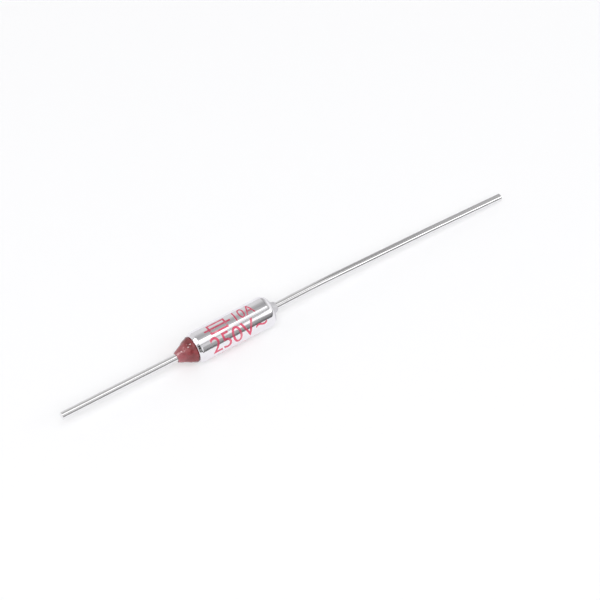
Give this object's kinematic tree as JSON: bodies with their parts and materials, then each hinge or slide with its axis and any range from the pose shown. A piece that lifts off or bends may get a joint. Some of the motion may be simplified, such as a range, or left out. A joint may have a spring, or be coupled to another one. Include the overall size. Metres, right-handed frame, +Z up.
{
  "type": "electrical fuse",
  "caption": "Axial thermal cutoff fuse: plated cylindrical case, red-brown resin seal at one end, bare tinned lead at each end, pellet and spring trip inside.",
  "frame": {"origin": "middle of the case, on its axis", "axes": "+X along the fuse axis towards the long case lead, +Z up with the case lying on its side"},
  "size_m": [0.0634, 0.004, 0.004],
  "materials": {
    "case_plating": "bright silver plating over drawn brass",
    "tinned_lead": "bright tin plating over copper wire",
    "seal_resin": "semi-gloss cast epoxy, red-brown",
    "bushing_ceramic": "fired, unglazed",
    "pellet_compound": "pressed organic compound, matt",
    "disc_brass": "punched sheet, satin",
    "spring_steel": "drawn spring wire",
    "contact_silver": "silver alloy sheet, bright"
  },
  "bodies": {
    "root": {"case": "case_plating", "case_lead": "tinned_lead", "isolated_lead": "tinned_lead", "resin_seal": "seal_resin", "ceramic_bushing": "bushing_ceramic", "thermal_pellet": "pellet_compound", "pellet_disc": "disc_brass", "strong_spring": "spring_steel", "contact_disc": "disc_brass", "star_contact": "contact_silver", "trip_spring": "spring_steel"}
  },
  "joints": []
}
